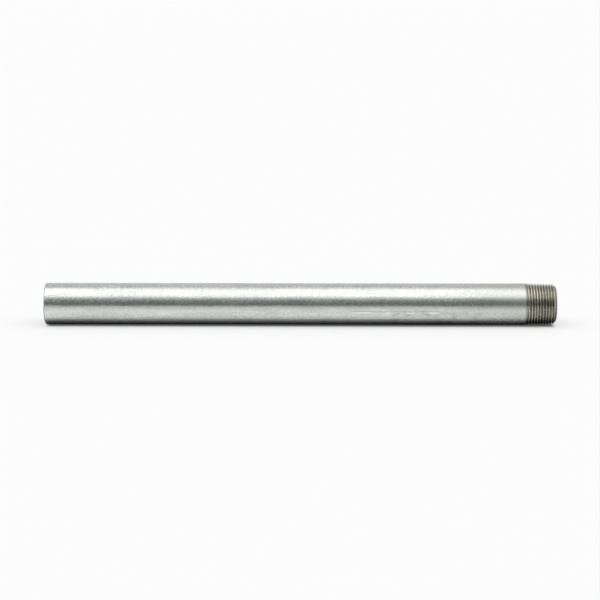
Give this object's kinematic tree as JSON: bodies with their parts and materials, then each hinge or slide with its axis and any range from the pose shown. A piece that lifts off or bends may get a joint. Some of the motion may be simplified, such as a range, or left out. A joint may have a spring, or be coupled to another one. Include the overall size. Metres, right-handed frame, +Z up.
{
  "type": "threaded pipe nipple",
  "caption": "Straight galvanised steel pipe nipple with a taper pipe thread cut on one end and a plain, deburred other end.",
  "frame": {"origin": "on the pipe's axis, in the plane of the threaded end's face", "axes": "+X along the pipe's axis and out of the threaded end, +Z up as the pipe lies on a table, +Y away from the viewer"},
  "size_m": [0.3302, 0.0268, 0.0268],
  "materials": {
    "bare_steel": "machined",
    "weld_steel": "machined",
    "zinc_outside": "satin",
    "zinc_inside": "satin"
  },
  "bodies": {
    "root": {"rolled_steel_wall": "bare_steel", "seam_weld": "weld_steel", "zinc_coat_outside": "zinc_outside", "zinc_coat_inside": "zinc_inside"}
  },
  "joints": []
}
